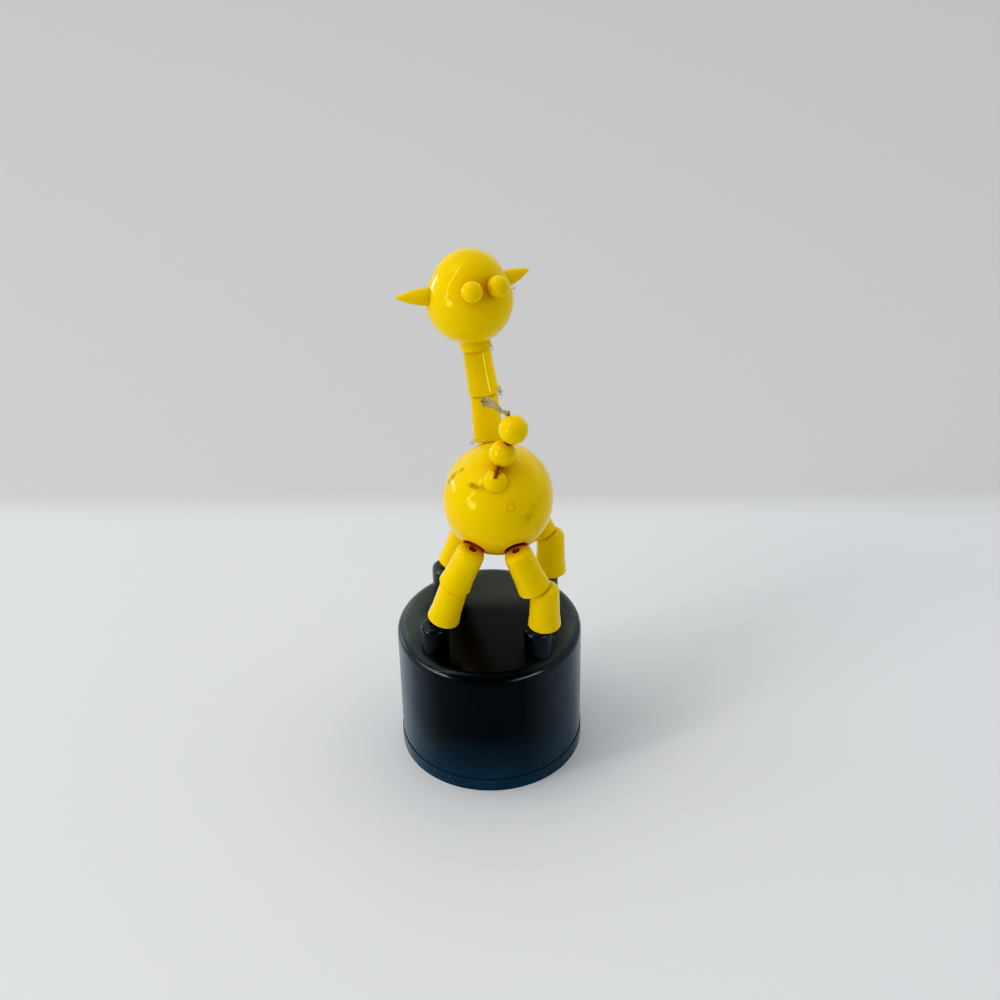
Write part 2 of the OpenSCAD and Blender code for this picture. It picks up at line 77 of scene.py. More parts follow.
def camera_axes():
    """The level right, then the camera's own right, up and back."""
    right0 = Vector((math.cos(AZIMUTH), math.sin(AZIMUTH), 0))
    back = Vector((math.sin(AZIMUTH), -math.cos(AZIMUTH), 0))
    toward = math.cos(ELEVATION) * back + math.sin(ELEVATION) * Vector((0, 0, 1))
    up0 = toward.cross(right0)
    right = math.cos(ROLL) * right0 + math.sin(ROLL) * up0
    up = -math.sin(ROLL) * right0 + math.cos(ROLL) * up0
    return right0, right, up, toward


def add_camera():
    right0, right, up, toward = camera_axes()
    data = bpy.data.cameras.new("camera")
    data.sensor_width = SENSOR_MM
    data.lens = FOCAL_PX / IMAGE_PX * SENSOR_MM
    data.clip_start = 0.01
    data.clip_end = 20
    cam = bpy.data.objects.new("camera", data)
    bpy.context.scene.collection.objects.link(cam)
    place = AIM_RIGHT * right0 + Vector((0, 0, AIM_UP)) + DISTANCE * toward
    axes = Matrix((right, up, toward)).transposed().to_4x4()
    cam.matrix_world = Matrix.Translation(place) @ axes
    bpy.context.scene.camera = cam


def photo_tones():
    """The photograph's tones: no roll-off in the lights, and the toe in the blacks."""
    view = bpy.context.scene.view_settings
    view.view_transform = "Standard"
    view.use_curve_mapping = True
    combined = view.curve_mapping.curves[3]
    for x, y in TONE_CURVE:
        combined.points.new(x, y)
    view.curve_mapping.update()


add_camera()
photo_tones()


# Node helpers
# Sockets of a Mix node in colour mode: factor, first colour, second colour, and the result
MIX_INPUTS = (0, 6, 7)
MIX_RESULT = 2


def put(tree, socket, value):
    """Link a socket to another node's output, or set its own constant."""
    if isinstance(value, bpy.types.NodeSocket):
        tree.links.new(value, socket)
    else:
        socket.default_value = value


def node(tree, kind, inputs, **props):
    n = tree.nodes.new(kind)
    for key, value in props.items():
        setattr(n, key, value)
    for key, value in inputs.items():
        put(tree, n.inputs[key], value)
    return n


def new_material(name):
    """A material, its node tree, its shader and its texture coordinates."""
    mat = bpy.data.materials.new(name)
    mat.use_nodes = True
    tree = mat.node_tree
    coords = tree.nodes.new("ShaderNodeTexCoord").outputs
    return mat, tree, tree.nodes["Principled BSDF"], coords


def dress(tree, shader, inputs):
    for key, value in inputs.items():
        put(tree, shader.inputs[key], value)


def mix_rgb(tree, factor, a, b, mode="MIX"):
    n = tree.nodes.new("ShaderNodeMix")
    n.data_type = "RGBA"
    n.blend_type = mode
    for index, value in zip(MIX_INPUTS, (factor, a, b)):
        put(tree, n.inputs[index], (*value, 1) if isinstance(value, tuple) else value)
    return n.outputs[MIX_RESULT]


def ramp(tree, fac, stops):
    """A colour ramp whose stops are a position with a grey or a colour."""
    n = tree.nodes.new("ShaderNodeValToRGB")
    tree.links.new(fac, n.inputs[0])
    while len(n.color_ramp.elements) < len(stops):
        n.color_ramp.elements.new(0.5)
    for e, (pos, tone) in zip(n.color_ramp.elements, stops):
        e.position = pos
        e.color = (*tone, 1) if isinstance(tone, tuple) else (tone, tone, tone, 1)
    return n.outputs[0]


def rise(tree, fac, start, end, top=1.0):
    """Nothing up to the start, then growing to the top at the end."""
    return ramp(tree, fac, [(start, 0.0), (end, top)])


def fall(tree, fac, start, end):
    """All up to the start, nothing from the end on."""
    return ramp(tree, fac, [(start, 1.0), (end, 0.0)])


def math_node(tree, op, a, b=0.0):
    return node(tree, "ShaderNodeMath", {0: a, 1: b}, operation=op).outputs[0]


def times(tree, a, b):
    return math_node(tree, "MULTIPLY", a, b)


def bump(tree, height, strength, distance, below=None):
    inputs = {"Strength": strength, "Distance": distance, "Height": height}
    if below is not None:
        inputs["Normal"] = below
    return node(tree, "ShaderNodeBump", inputs).outputs[0]


def noise(tree, coords, scale, detail=2.0):
    """Noise with the given number of grains to a unit of the coordinates."""
    inputs = {"Vector": coords, "Scale": scale, "Detail": detail, "Roughness": 0.5}
    return node(tree, "ShaderNodeTexNoise", inputs).outputs[0]


def stretched(tree, coords, scale, turn=(0.0, 0.0, 0.0)):
    inputs = {"Vector": coords, "Scale": scale, "Rotation": turn}
    return node(tree, "ShaderNodeMapping", inputs).outputs[0]


def split_xyz(tree, vector):
    return node(tree, "ShaderNodeSeparateXYZ", {0: vector}).outputs


def openness(tree, reach):
    """One in the open, less where something is nearer than the reach."""
    return node(tree, "ShaderNodeAmbientOcclusion", {"Distance": reach}, samples=8).outputs["AO"]


def distance_to(t, at, centre, stretch=(1.0, 1.0, 1.0)):
    """Distance in millimetres from a centre in millimetres, with its axes stretched for an oval."""
    centre_m = tuple(c * MM for c in centre)
    offset = node(t, "ShaderNodeVectorMath", {0: at, 1: centre_m}, operation="SUBTRACT")
    per_mm = tuple(s / MM for s in stretch)
    scaled = node(t, "ShaderNodeVectorMath", {0: offset.outputs[0], 1: per_mm}, operation="MULTIPLY")
    return node(t, "ShaderNodeVectorMath", {0: scaled.outputs[0]}, operation="LENGTH").outputs["Value"]


# Yellow plastic
YELLOW_PALE = (0.88, 0.605, 0.0)
YELLOW_DEEP = (0.85, 0.565, 0.0)
YELLOW_PAINTED_SHADE = (0.62, 0.24, 0.0)
YELLOW_SPECK = (0.9, 0.72, 0.06)
YELLOW_GLOSS = (1.0, 0.9, 0.35, 1.0)
YELLOW_GLOW = (1.0, 0.45, 0.02)
WORN_ROUGHNESS = (0.5, 0.5, 0.5)
# Kind of mark: grain of its ragged edge, strength of its bump, strength and tone of its colour
MARK_LOOKS = {
    "scuff": ((1500.0, 1500.0, 420.0), 0.6, 0.6, (0.45, 0.24, 0.0)),
    # Grime is a dark smear of dirt; on the body one such smear is painted shadow beneath the tail's stub
    "grime": ((700.0, 700.0, 900.0), 0.2, 0.8, (0.16, 0.085, 0.004)),
}
# Kind, centre, radius and stretch of each mark on the body, in millimetres
BODY_MARKS = [
    ("ring", (5.5, -9.7, 65.0), 1.05, (1.0, 1.0, 1.0)),
    ("scuff", (8.8, -8.7, 62.0), 1.5, (0.6, 0.6, 1.0)),
    ("scuff", (9.9, -7.4, 63.6), 1.1, (1.0, 1.0, 1.0)),
    ("scuff", (11.0, -6.7, 59.2), 1.3, (1.0, 1.0, 0.6)),
    ("grime", (-6.4, -2.4, 66.2), 1.7, (0.7, 1.6, 0.7)),
    # Painted shadow beneath the tail's stub, drawn as a grime smear
    ("grime", (-1.2, -7.35, 67.8), 1.9, (0.62, 1.0, 2.4)),
    ("grime", (-4.4, -2.6, 68.5), 1.0, (0.8, 1.6, 0.8)),
]


def gate_ring(t, away, normal):
    """The raised ring that the mould's gate leaves; away is 1 at its rim."""
    height = ramp(t, away, [(0.0, 0.5), (0.4, 0.25), (0.58, 1.0), (0.8, 1.0), (1.0, 0.0)])
    return bump(t, height, 1.0, 0.22 * MM, normal)


def mark_patch(t, at, away, kind, colour, rough, normal):
    """A scuff, a smear of grime or a smear of painted shadow, with a ragged edge; away is 1 at its rim."""
    grain, depth, strength, tone = MARK_LOOKS[kind]
    ragged = rise(t, noise(t, stretched(t, at, grain, (0.3, 0.5, 0.0)), 1.0, 4.0), 0.40, 0.64)
    patch_mask = times(t, fall(t, away, 0.35, 1.0), ragged)
    colour = mix_rgb(t, times(t, patch_mask, strength), colour, tone)
    rough = mix_rgb(t, patch_mask, rough, WORN_ROUGHNESS)
    return colour, rough, bump(t, patch_mask, depth, 0.1 * MM, normal)


def yellow_plastic(name, marks=()):
    """Moulded yellow plastic, painted a deep orange shade in its hollows, with faint flow marks, fine
    scratches, pale specks and the given marks. A ring is a gate mark, a scuff a patch of scratches, grime a
    dark smear;
    one grime smear on the body is painted shadow beneath the tail's stub."""
    mat, t, shader, coords = new_material(name)
    at = coords["Object"]
    cloud = noise(t, at, 90.0, 3.0)
    flow = noise(t, stretched(t, at, (300.0, 300.0, 60.0)), 1.0, 4.0)
    speck = noise(t, at, 5200.0, 1.0)
    scratch = noise(t, stretched(t, at, (900.0, 5200.0, 900.0), (0.4, 0.7, 0.2)), 1.0, 3.0)
    colour = mix_rgb(t, rise(t, cloud, 0.35, 0.7), YELLOW_PALE, YELLOW_DEEP)
    # Painted shade: a deeper orange where ambient occlusion finds something near
    colour = mix_rgb(t, fall(t, openness(t, 7 * MM), 0.10, 0.95), colour, YELLOW_PAINTED_SHADE)
    colour = mix_rgb(t, rise(t, speck, 0.77, 0.82, 0.4), colour, YELLOW_SPECK)
    rough = ramp(t, flow, [(0.3, 0.08), (0.75, 0.17)])
    normal = bump(t, cloud, 0.16, 0.35 * MM)
    normal = bump(t, rise(t, scratch, 0.6, 0.72), 0.10, 0.02 * MM, normal)
    for kind, centre, radius, stretch in marks:
        away = math_node(t, "DIVIDE", distance_to(t, at, centre, stretch), radius)
        if kind == "ring":
            normal = gate_ring(t, away, normal)
        else:
            colour, rough, normal = mark_patch(t, at, away, kind, colour, rough, normal)
    dress(t, shader, {"Base Color": colour, "Roughness": rough, "Normal": normal, "IOR": 1.40,
                      "Specular Tint": YELLOW_GLOSS, "Subsurface Weight": 0.10,
                      "Subsurface Radius": YELLOW_GLOW, "Subsurface Scale": 1.0 * MM})
    return mat


# Dark plastic
# The base cup's radius and height, which place the dust, the paler far posts and the painted reflections
BASE_R = 19 * MM
BASE_H = 30 * MM
DARK_GREEN = (0.0008, 0.0026, 0.0034)
DARK_BLUE = (0.0014, 0.0040, 0.0058)
DUST_FILM = (0.086, 0.102, 0.098)
# Yellow-green tint of the dust: painted yellow light bounced from the giraffe
PAINTED_BOUNCE_FILM = (0.050, 0.052, 0.020)
# Centre and reach of the painted yellow bounce light on the dust among the far legs, in millimetres
PAINTED_BOUNCE_AT = (-3.0, 9.0, 30.0)
PAINTED_BOUNCE_REACH = 14.0
# Paler tone of the far posts above the cup's top
FAR_POST_TONE = (0.060, 0.068, 0.056)
# Painted reflection of the pale floor, bluish on the dark plastic, near the cup's foot
PAINTED_FLOOR_REFLECTION = (0.012, 0.044, 0.070)
# Painted sheen on the cup's left and right sides
PAINTED_SIDE_SHEEN = (0.028, 0.040, 0.052)
DUST_SPECK = (0.15, 0.17, 0.18)


def dust_and_painted_bounce(t, at, colour, facing_up, patchy, sideways, backward):
    """A film of dust on what faces up, thicker at the sides and the back; among the far legs it takes a
    painted yellow-green tint of light bounced from the giraffe.
    """
    film = math_node(t, "MAXIMUM", ramp(t, sideways, [(0.4, 0.04), (0.92, 1.0)]),
                     rise(t, backward, 0.15, 0.95, 0.45))
    film = times(t, times(t, facing_up, patchy), film)
    # Painted bounce light: the dust film turns yellow-green near the far legs
    painted_bounce_mask = fall(t, math_node(t, "DIVIDE", distance_to(t, at, PAINTED_BOUNCE_AT), PAINTED_BOUNCE_REACH), 0.4, 1.0)
    return mix_rgb(t, film, colour, mix_rgb(t, painted_bounce_mask, DUST_FILM, PAINTED_BOUNCE_FILM))


def pale_posts_and_painted_reflections(t, colour, facing_up, patchy, sideways, backward, height):
    """Far posts paler, a painted bluish reflection of the floor near the foot and a painted sheen at the
    two sides.
    """
    # The far posts above the cup's top are paler
    paler_posts = times(t, rise(t, height, 0.99, 1.03, 0.8), rise(t, backward, 0.15, 0.45))
    colour = mix_rgb(t, paler_posts, colour, FAR_POST_TONE)
    # Painted reflection of the floor on the lower half of the cup, in patches
    colour = mix_rgb(t, times(t, fall(t, height, 0.0, 0.5), patchy), colour, PAINTED_FLOOR_REFLECTION)
    upright = math_node(t, "SUBTRACT", 1.0, facing_up)
    # Painted sheen where the cup's sides face left and right
    side = times(t, rise(t, sideways, 0.45, 0.90), upright)
    return mix_rgb(t, times(t, side, patchy), colour, PAINTED_SIDE_SHEEN)


def dark_plastic():
    """Blue-black moulded plastic with a soft gloss, dust, paler far posts, painted reflections and bounce
    light, scratches and specks.
    """
    mat, t, shader, coords = new_material("dark_plastic_look")
    at = coords["Object"]
    x, y, z = split_xyz(t, at)
    sideways = math_node(t, "DIVIDE", math_node(t, "ABSOLUTE", x), BASE_R)
    backward = math_node(t, "DIVIDE", y, BASE_R)
    height = math_node(t, "DIVIDE", z, BASE_H)
    facing_up = rise(t, split_xyz(t, coords["Normal"])["Z"], 0.6, 0.98)
    patchy = ramp(t, noise(t, at, 160.0, 4.0), [(0.3, 0.7), (0.7, 1.0)])
    cloud = noise(t, at, 70.0, 3.0)
    colour = mix_rgb(t, cloud, DARK_GREEN, DARK_BLUE)
    colour = dust_and_painted_bounce(t, at, colour, facing_up, patchy, sideways, backward)
    colour = pale_posts_and_painted_reflections(t, colour, facing_up, patchy, sideways, backward, height)
    dusty = times(t, rise(t, noise(t, at, 2600.0), 0.70, 0.75), rise(t, noise(t, at, 210.0, 1.0), 0.5, 0.6))
    colour = mix_rgb(t, times(t, dusty, 0.30), colour, DUST_SPECK)
    drag = noise(t, stretched(t, at, (120.0, 120.0, 30.0)), 1.0, 4.0)
    scratch = noise(t, stretched(t, at, (500.0, 4200.0, 500.0), (0.2, 0.1, 0.9)), 1.0, 3.0)
    normal = bump(t, cloud, 0.10, 0.3 * MM)
    normal = bump(t, rise(t, scratch, 0.6, 0.7), 0.08, 0.02 * MM, normal)
    normal = bump(t, dusty, 0.3, 0.05 * MM, normal)
    dress(t, shader, {"Base Color": colour, "Roughness": ramp(t, drag, [(0.3, 0.20), (0.75, 0.30)]),
                      "Normal": normal, "IOR": 1.31})
    return mat


# Thread, wire and torn plastic
THREAD_PAINTED_SHADE = (0.14, 0.05, 0.002)
STEEL_DARK = (0.42, 0.43, 0.45)
STEEL_PALE = (0.62, 0.62, 0.63)
BURR_GRIME = (0.16, 0.10, 0.02)
BURR_PALE = (0.55, 0.40, 0.10)


def thread_look(name, dark, pale):
    """Sewing thread: fine fibres, patches of grime, painted dark shade in the hollows, a soft sheen."""
    mat, t, shader, coords = new_material(name)
    at = coords["Object"]
    fibres = noise(t, at, 6500.0, 3.0)
    grime = noise(t, at, 420.0)
    colour = mix_rgb(t, fibres, dark, pale)
    colour = mix_rgb(t, rise(t, grime, 0.4, 0.7, 0.5), colour, tuple(0.65 * c for c in dark))
    # Painted shade in the hollows, where ambient occlusion finds something near
    colour = mix_rgb(t, fall(t, openness(t, 2.5 * MM), 0.1, 0.6), colour, THREAD_PAINTED_SHADE)
    dress(t, shader, {"Base Color": colour, "Normal": bump(t, fibres, 0.5, 0.05 * MM), "Roughness": 0.85,
                      "Sheen Weight": 0.12, "Sheen Roughness": 0.5, "Specular IOR Level": 0.2})
    return mat


def steel_wire():
    """Drawn spring wire with fine lines and a thin film of oil."""
    mat, t, shader, coords = new_material("steel_wire_look")
    at = coords["Object"]
    drawn = noise(t, stretched(t, at, (400.0, 400.0, 5000.0)), 1.0, 3.0)
    colour = mix_rgb(t, noise(t, at, 260.0), STEEL_DARK, STEEL_PALE)
    dress(t, shader, {"Base Color": colour, "Roughness": ramp(t, drawn, [(0.3, 0.24), (0.8, 0.42)]),
                      "Normal": bump(t, drawn, 0.2, 0.03 * MM), "Metallic": 1.0})
    return mat


def burr_look():
    """Thin torn plastic, pale with grimy patches."""
    mat, t, shader, coords = new_material("burr_look")
    grime = noise(t, coords["Object"], 2400.0, 3.0)
    dress(t, shader, {"Base Color": ramp(t, grime, [(0.35, BURR_GRIME), (0.65, BURR_PALE)]),
                      "Normal": bump(t, grime, 0.4, 0.04 * MM), "Roughness": 0.45})
    return mat


YELLOW = yellow_plastic("yellow_plastic_look")
BODY_YELLOW = yellow_plastic("body_yellow_look", BODY_MARKS)
DARK = dark_plastic()
THREAD = thread_look("thread_look", (0.40, 0.29, 0.12), (0.62, 0.47, 0.24))
# Where it runs in a bead's hole the thread is painted the dark orange of the shade in there
SHADE_PAINTED_THREAD = thread_look("shade_painted_thread_look", (0.20, 0.085, 0.004), (0.33, 0.16, 0.01))
STEEL = steel_wire()
BURR = burr_look()


def look_of(name):
    """The material of a CAD node."""
    if name in ("base_cup", "thumb_button"):
        return DARK
    if name == "return_spring":
        return STEEL
    if "string" in name or name == "tail_thread":
        return THREAD
    return BODY_YELLOW if name.startswith("body_") else YELLOW


def paint(name, mat):
    obj = frame["nodes"][name]
    for s in obj.material_slots:
        s.link = "OBJECT"
        s.material = mat
    if not obj.material_slots:
        obj.data.materials.append(mat)


for name in frame["nodes"]:
    paint(name, look_of(name))


# Tools for threads
STRING_R = 0.4 * MM
# Threads are a little thinner than the strings that they replace
SNUG = 0.97
PLIES = 3
PLY_TURN = 1.9 * MM
# A ply's radius, and its distance from the thread's middle, as a share of the thread's radius
PLY_SHARE = 0.50
PLY_SIDES = 8
PLY_UNEVEN = 0.06
UNEVEN_PER_M = 2600
# Share of its length from which a frayed thread opens
FRAYS_FROM = 0.6
KNOT_STEPS = 48
# Greatest reach of the trefoil's formula, and how flat the knot is along its axis
TREFOIL_REACH = 3
KNOT_FLAT = 0.75
# How far from its tip a rod's points count as its end
ROD_END = 0.45 * MM


def link(name, bm, mat, body, smooth=True):
    """Make a piece from a mesh. A body given as a tuple names a blend between two bodies; such a piece is
    not attached to a body and keeps its place.
    """
    mesh = bpy.data.meshes.new(name)
    bmesh.ops.recalc_face_normals(bm, faces=bm.faces[:])
    bm.to_mesh(mesh)
    bm.free()
    for face in mesh.polygons:
        face.use_smooth = smooth
    mesh.materials.append(mat)
    obj = bpy.data.objects.new(name, mesh)
    bpy.context.scene.collection.objects.link(obj)
    if isinstance(body, tuple):
        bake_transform(obj)
    else:
        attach(obj, body)
    return obj


def resample(points, count):
    """Points evenly spaced along a smooth curve through the given ones."""
    pts = [Vector(p) for p in points]
    if len(pts) == 2:
        return [pts[0].lerp(pts[1], i / (count - 1)) for i in range(count)]
    ends = [2 * pts[0] - pts[1]] + pts + [2 * pts[-1] - pts[-2]]
    out = []
    for i in range(count):
        u = i / (count - 1) * (len(pts) - 1)
        k = min(int(u), len(pts) - 2)
        f = u - k
        a, b, c, d = ends[k:k + 4]
        out.append(0.5 * (2 * b + (c - a) * f + (2 * a - 5 * b + 4 * c - d) * f * f
                          + (3 * b - a - 3 * c + d) * f * f * f))
    return out


def two_across(axis):
    """Two directions at right angles to an axis and to each other."""
    u = axis.orthogonal().normalized()
    return u, axis.cross(u)


def around(angle, u, v):
    return math.cos(angle) * u + math.sin(angle) * v


def frames_along(pts):
    """Two directions across the curve at each point, carried along it without twist."""
    last = len(pts) - 1
    tangents = [(pts[min(i + 1, last)] - pts[max(i - 1, 0)]).normalized() for i in range(len(pts))]
    across = tangents[0].orthogonal().normalized()
    frames = []
    for tan in tangents:
        across = (across - across.dot(tan) * tan).normalized()
        frames.append((across, tan.cross(across)))
    return frames


def skin(bm, rings):
    """Faces between rings of points, and one at each end."""
    sides = len(rings[0])
    for a, b in zip(rings, rings[1:]):
        for j in range(sides):
            bm.faces.new((a[j], a[(j + 1) % sides], b[(j + 1) % sides], b[j]))
    bm.faces.new(rings[0])
    bm.faces.new(rings[-1])


def tube(bm, pts, radii, sides):
    """Closed tube along the points, with its own radius at each."""
    rings = []
    for p, (u, v), r in zip(pts, frames_along(pts), radii):
        rings.append([bm.verts.new(p + r * around(TURN * j / sides, u, v)) for j in range(sides)])
    skin(bm, rings)


def add_twist(bm, points, radius, rings_per_mm=5.0, fray=0.0):
    """Three plies twisted round one line, each a tube with a slightly uneven thickness."""
    length = sum((Vector(b) - Vector(a)).length for a, b in zip(points, points[1:]))
    count = max(8, int(length / MM * rings_per_mm))
    centre = resample(points, count)
    frames = frames_along(centre)
    for ply in range(PLIES):
        line = []
        radii = []
        for i, (p, (u, v)) in enumerate(zip(centre, frames)):
            angle = TURN * (i / (count - 1) * length / PLY_TURN + ply / PLIES)
            wide = 1 + fray * max(0.0, i / (count - 1) - FRAYS_FROM)
            line.append(p + PLY_SHARE * radius * wide * around(angle, u, v))
            uneven = 1 + PLY_UNEVEN * mnoise.noise(p * UNEVEN_PER_M + Vector((ply, 0, 0)))
            radii.append(radius * PLY_SHARE * uneven)
        tube(bm, line, radii, PLY_SIDES)


def add_knot(bm, centre, radius, axis, thick):
    """An overhand knot: one thread along a trefoil that fills a ball of the given radius."""
    axis = axis.normalized()
    u, v = two_across(axis)
    loop = []
    for k in range(KNOT_STEPS + 1):
        a = TURN * k / KNOT_STEPS
        x = (math.sin(a) + 2 * math.sin(2 * a)) / TREFOIL_REACH
        y = (math.cos(a) - 2 * math.cos(2 * a)) / TREFOIL_REACH
        z = -math.sin(3 * a) * KNOT_FLAT
        loop.append(centre + (radius - thick) * (x * u + y * v + z * axis))
    add_twist(bm, loop, thick, rings_per_mm=7.0)


def islands(name):
    """The separate solids of a CAD node, each as a list of its mesh's points."""
    bm = bmesh.new()
    bm.from_mesh(frame["nodes"][name].data)
    bmesh.ops.remove_doubles(bm, verts=bm.verts[:], dist=0.001 * MM)
    seen = set()
    out = []
    for start in bm.verts:
        if start in seen:
            continue
        group = []
        todo = [start]
        seen.add(start)
        while todo:
            v = todo.pop()
            group.append(v.co.copy())
            for e in v.link_edges:
                w = e.other_vert(v)
                if w not in seen:
                    seen.add(w)
                    todo.append(w)
        out.append(group)
    bm.free()
    return out


def middle_of(verts):
    return sum(verts, Vector()) / len(verts)


def rod_ends(verts):
    """The lower and the upper end of a straight rod, from its mesh's points."""
    first = max(verts, key=lambda v: (v - verts[0]).length)
    last = max(verts, key=lambda v: (v - first).length)
    axis = (last - first).normalized()
    along = [(v - first).dot(axis) for v in verts]
    a, b = [middle_of([v for v, s in zip(verts, along) if abs(s - at) < ROD_END])
            for at in (min(along), max(along))]
    return (a, b) if a.z < b.z else (b, a)


def joint_at(name):
    return Vector(next(j["pos_m"] for j in frame["record"]["behaviour"]["joints"] if j["name"] == name))


# Strings, knots and spring
# What the press joint squeezes between the cup's roof and the button's roof
CUP_ROOF = 2 * MM
ROOF_Z = BASE_H - CUP_ROOF
BUTTON_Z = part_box("return_spring")[0][2]
PRESSED = ("base", "button", (0, 0, ROOF_Z), (0, 0, BUTTON_Z))
WIRE_R = 0.45 * MM
SPRING_TURNS = 7
STEPS_PER_TURN = 40
WIRE_SIDES = 12
# Height of the slice at a bent string's end that its middle is taken from
END_SLICE = 0.05 * MM
COLLAR_KNOT_R = 1.1 * MM
# Points of the tail's stub this near to the thread's line are the wall of its hole
HOLE_WALL_R = 1.0 * MM
SHORTEST_BEND = 0.15 * MM
INTO_BALL = 0.5 * MM


def straight_strings():
    """Threads in place of the strings in the beads, the tail and the posts."""
    ends = ("_lower_string", "_upper_string", "inner_string")
    for name in [n for n in frame["nodes"] if n.endswith(ends)] + ["post_strings"]:
        bm = bmesh.new()
        for verts in islands(name):
            add_twist(bm, rod_ends(verts), STRING_R * SNUG)
        in_hip = name.endswith("_upper_string") and not name.startswith("neck")
        # Threads in the hips' holes and at the tail's root are painted the dark orange of the shade there
        mat = SHADE_PAINTED_THREAD if in_hip or name == "tail_inner_string" else THREAD
        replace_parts(link(name + "_twist", bm, mat, BODY_OF[name]), name)


def spring_coil():
    low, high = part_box("return_spring")
    coil_r = high[0] - WIRE_R
    steps = STEPS_PER_TURN * SPRING_TURNS
    coil = []
    for k in range(steps + 1):
        angle = TURN * k * SPRING_TURNS / steps
        climb = (high[2] - low[2] - 2 * WIRE_R) * k / steps
        coil.append(Vector((coil_r * math.cos(angle), coil_r * math.sin(angle), low[2] + WIRE_R + climb)))
    bm = bmesh.new()
    tube(bm, coil, [WIRE_R * (0.99 + 0.01 * mnoise.noise(c * 900)) for c in coil], WIRE_SIDES)
    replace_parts(link("return_spring_coil", bm, STEEL, PRESSED), "return_spring")


def cup_strings():
    """Each string bends just above the button's roof on its way from its knot to its post."""
    bm = bmesh.new()
    for verts in islands("button_strings"):
        lowest = min(v.z for v in verts)
        highest = max(v.z for v in verts)
        start = middle_of([v for v in verts if v.z < lowest + END_SLICE])
        end = middle_of([v for v in verts if v.z > highest - END_SLICE])
        bend = Vector((start.x, start.y, BUTTON_Z + STRING_R))
        way = [start, start.lerp(bend, 0.8), bend.lerp(end, 0.02), bend.lerp(end, 0.2), end]
        add_twist(bm, way, STRING_R * SNUG)
    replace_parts(link("button_strings_twist", bm, THREAD, PRESSED), "button_strings")


def tied_knots():
    """The strings' knots in the button, each with its cut end hanging out."""
    bm = bmesh.new()
    for verts in islands("string_knots"):
        centre = middle_of(verts)
        radius = max((v - centre).length for v in verts)
        add_knot(bm, centre, radius, Vector((0, 0, 1)), STRING_R)
        halfway = centre + Vector((0.25, 0.15, -0.75)) * radius
        tip = centre + Vector((0.5, 0.3, -0.85)) * radius
        add_twist(bm, [centre, halfway, tip], STRING_R * 0.8, fray=1.5)
    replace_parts(link("string_knots_tied", bm, THREAD, BODY_OF["string_knots"]), "string_knots")


def collar_string():
    """The string through the collar ends in a knot at its upper end."""
    low, high = rod_ends(islands("collar_string")[0])
    axis = (high - low).normalized()
    knot_at = high - COLLAR_KNOT_R * axis
    bm = bmesh.new()
    add_twist(bm, (low, knot_at), STRING_R * SNUG)
    add_knot(bm, knot_at, COLLAR_KNOT_R, axis, STRING_R)
    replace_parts(link("collar_string_tied", bm, THREAD, BODY_OF["collar_string"]), "collar_string")


def tail_root():
    """The string from the stub to the inner ball, straight. The span where it would bend as the tail drops,
    from the mouth of the stub's hole to the ball, is given to the piece but not used."""
    root = joint_at("tail_inner_swing")
    ball = joint_at("tail_outer_swing")
    low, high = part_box("tail_inner_ball")
    to_ball = (ball - root).normalized()
    entry = (ball - root).length - (high[0] - low[0]) / 2
    mouth = 0.0
    for v in frame["nodes"]["tail_stub"].data.vertices:
        along = (v.co - root).dot(to_ball)
        if (v.co - root - along * to_ball).length < HOLE_WALL_R:
            mouth = max(mouth, min(along, entry - SHORTEST_BEND))
    bm = bmesh.new()
    add_twist(bm, (root, root + (entry + INTO_BALL) * to_ball), STRING_R * SNUG, rings_per_mm=30.0)
    bending = ("body", "tail_inner", root + mouth * to_ball, root + entry * to_ball)
    # Painted the dark orange of the shade in the stub's hole
    link("tail_root_thread", bm, SHADE_PAINTED_THREAD, bending)


straight_strings()
spring_coil()
cup_strings()
tied_knots()
collar_string()
tail_root()


# The tail's thread leaves the outer ball by a knot and ends in a flat frayed tuft beside the neck
# The thread's route, and the two points that its fibres reach for, in millimetres
TAIL_ROUTE = [(5.2, -2.6, 80.3), (4.94, -2.33, 80.95), (4.5, -2.2, 81.5), (3.5, -1.6, 81.45),
              (2.64, -0.72, 81.66), (1.81, 0.09, 81.92), (1.01, 0.56, 82.05)]
TUFT_TO = [(0.21, 0.90, 81.98), (-1.05, 0.95, 81.85)]
# Half the tuft's height in millimetres along its way: a waist at the knot, a lens, a narrow tip
TUFT_OUTLINE = ((0.0, 0.42), (0.3, 0.78), (0.5, 0.88), (0.7, 1.05), (0.86, 0.78), (1.0, 0.14))
TUFT_ACROSS = Vector((0.0, 0.56, 0.83))
TUFT_DEEP = Vector((-0.08, 0.82, -0.56))
TUFT_DEPTH = 0.22 * MM
# How many points of the route the bound thread takes, and at which one a fibre may leave it
BOUND_POINTS = 5
LEAVES_AT = (3, 4, 4)
FIBRES = 150
FIBRE_POINTS = 14
FIBRE_SIDES = 5
FIBRE_WAVER = 0.12 * MM
# The knot's start beyond the route's second point, its climb, its radius and its thread's radius
TAIL_KNOT_AT = 0.35 * MM
TAIL_KNOT_CLIMB = 0.25 * MM
TAIL_KNOT_R = 0.42 * MM
TAIL_KNOT_THREAD = 0.26 * MM


def opening(f):
    """Half the tuft's height in millimetres at a share of its way."""
    for (a, x), (b, y) in zip(TUFT_OUTLINE, TUFT_OUTLINE[1:]):
        if f <= b:
            return x + (y - x) * (f - a) / (b - a)
    return TUFT_OUTLINE[-1][1]


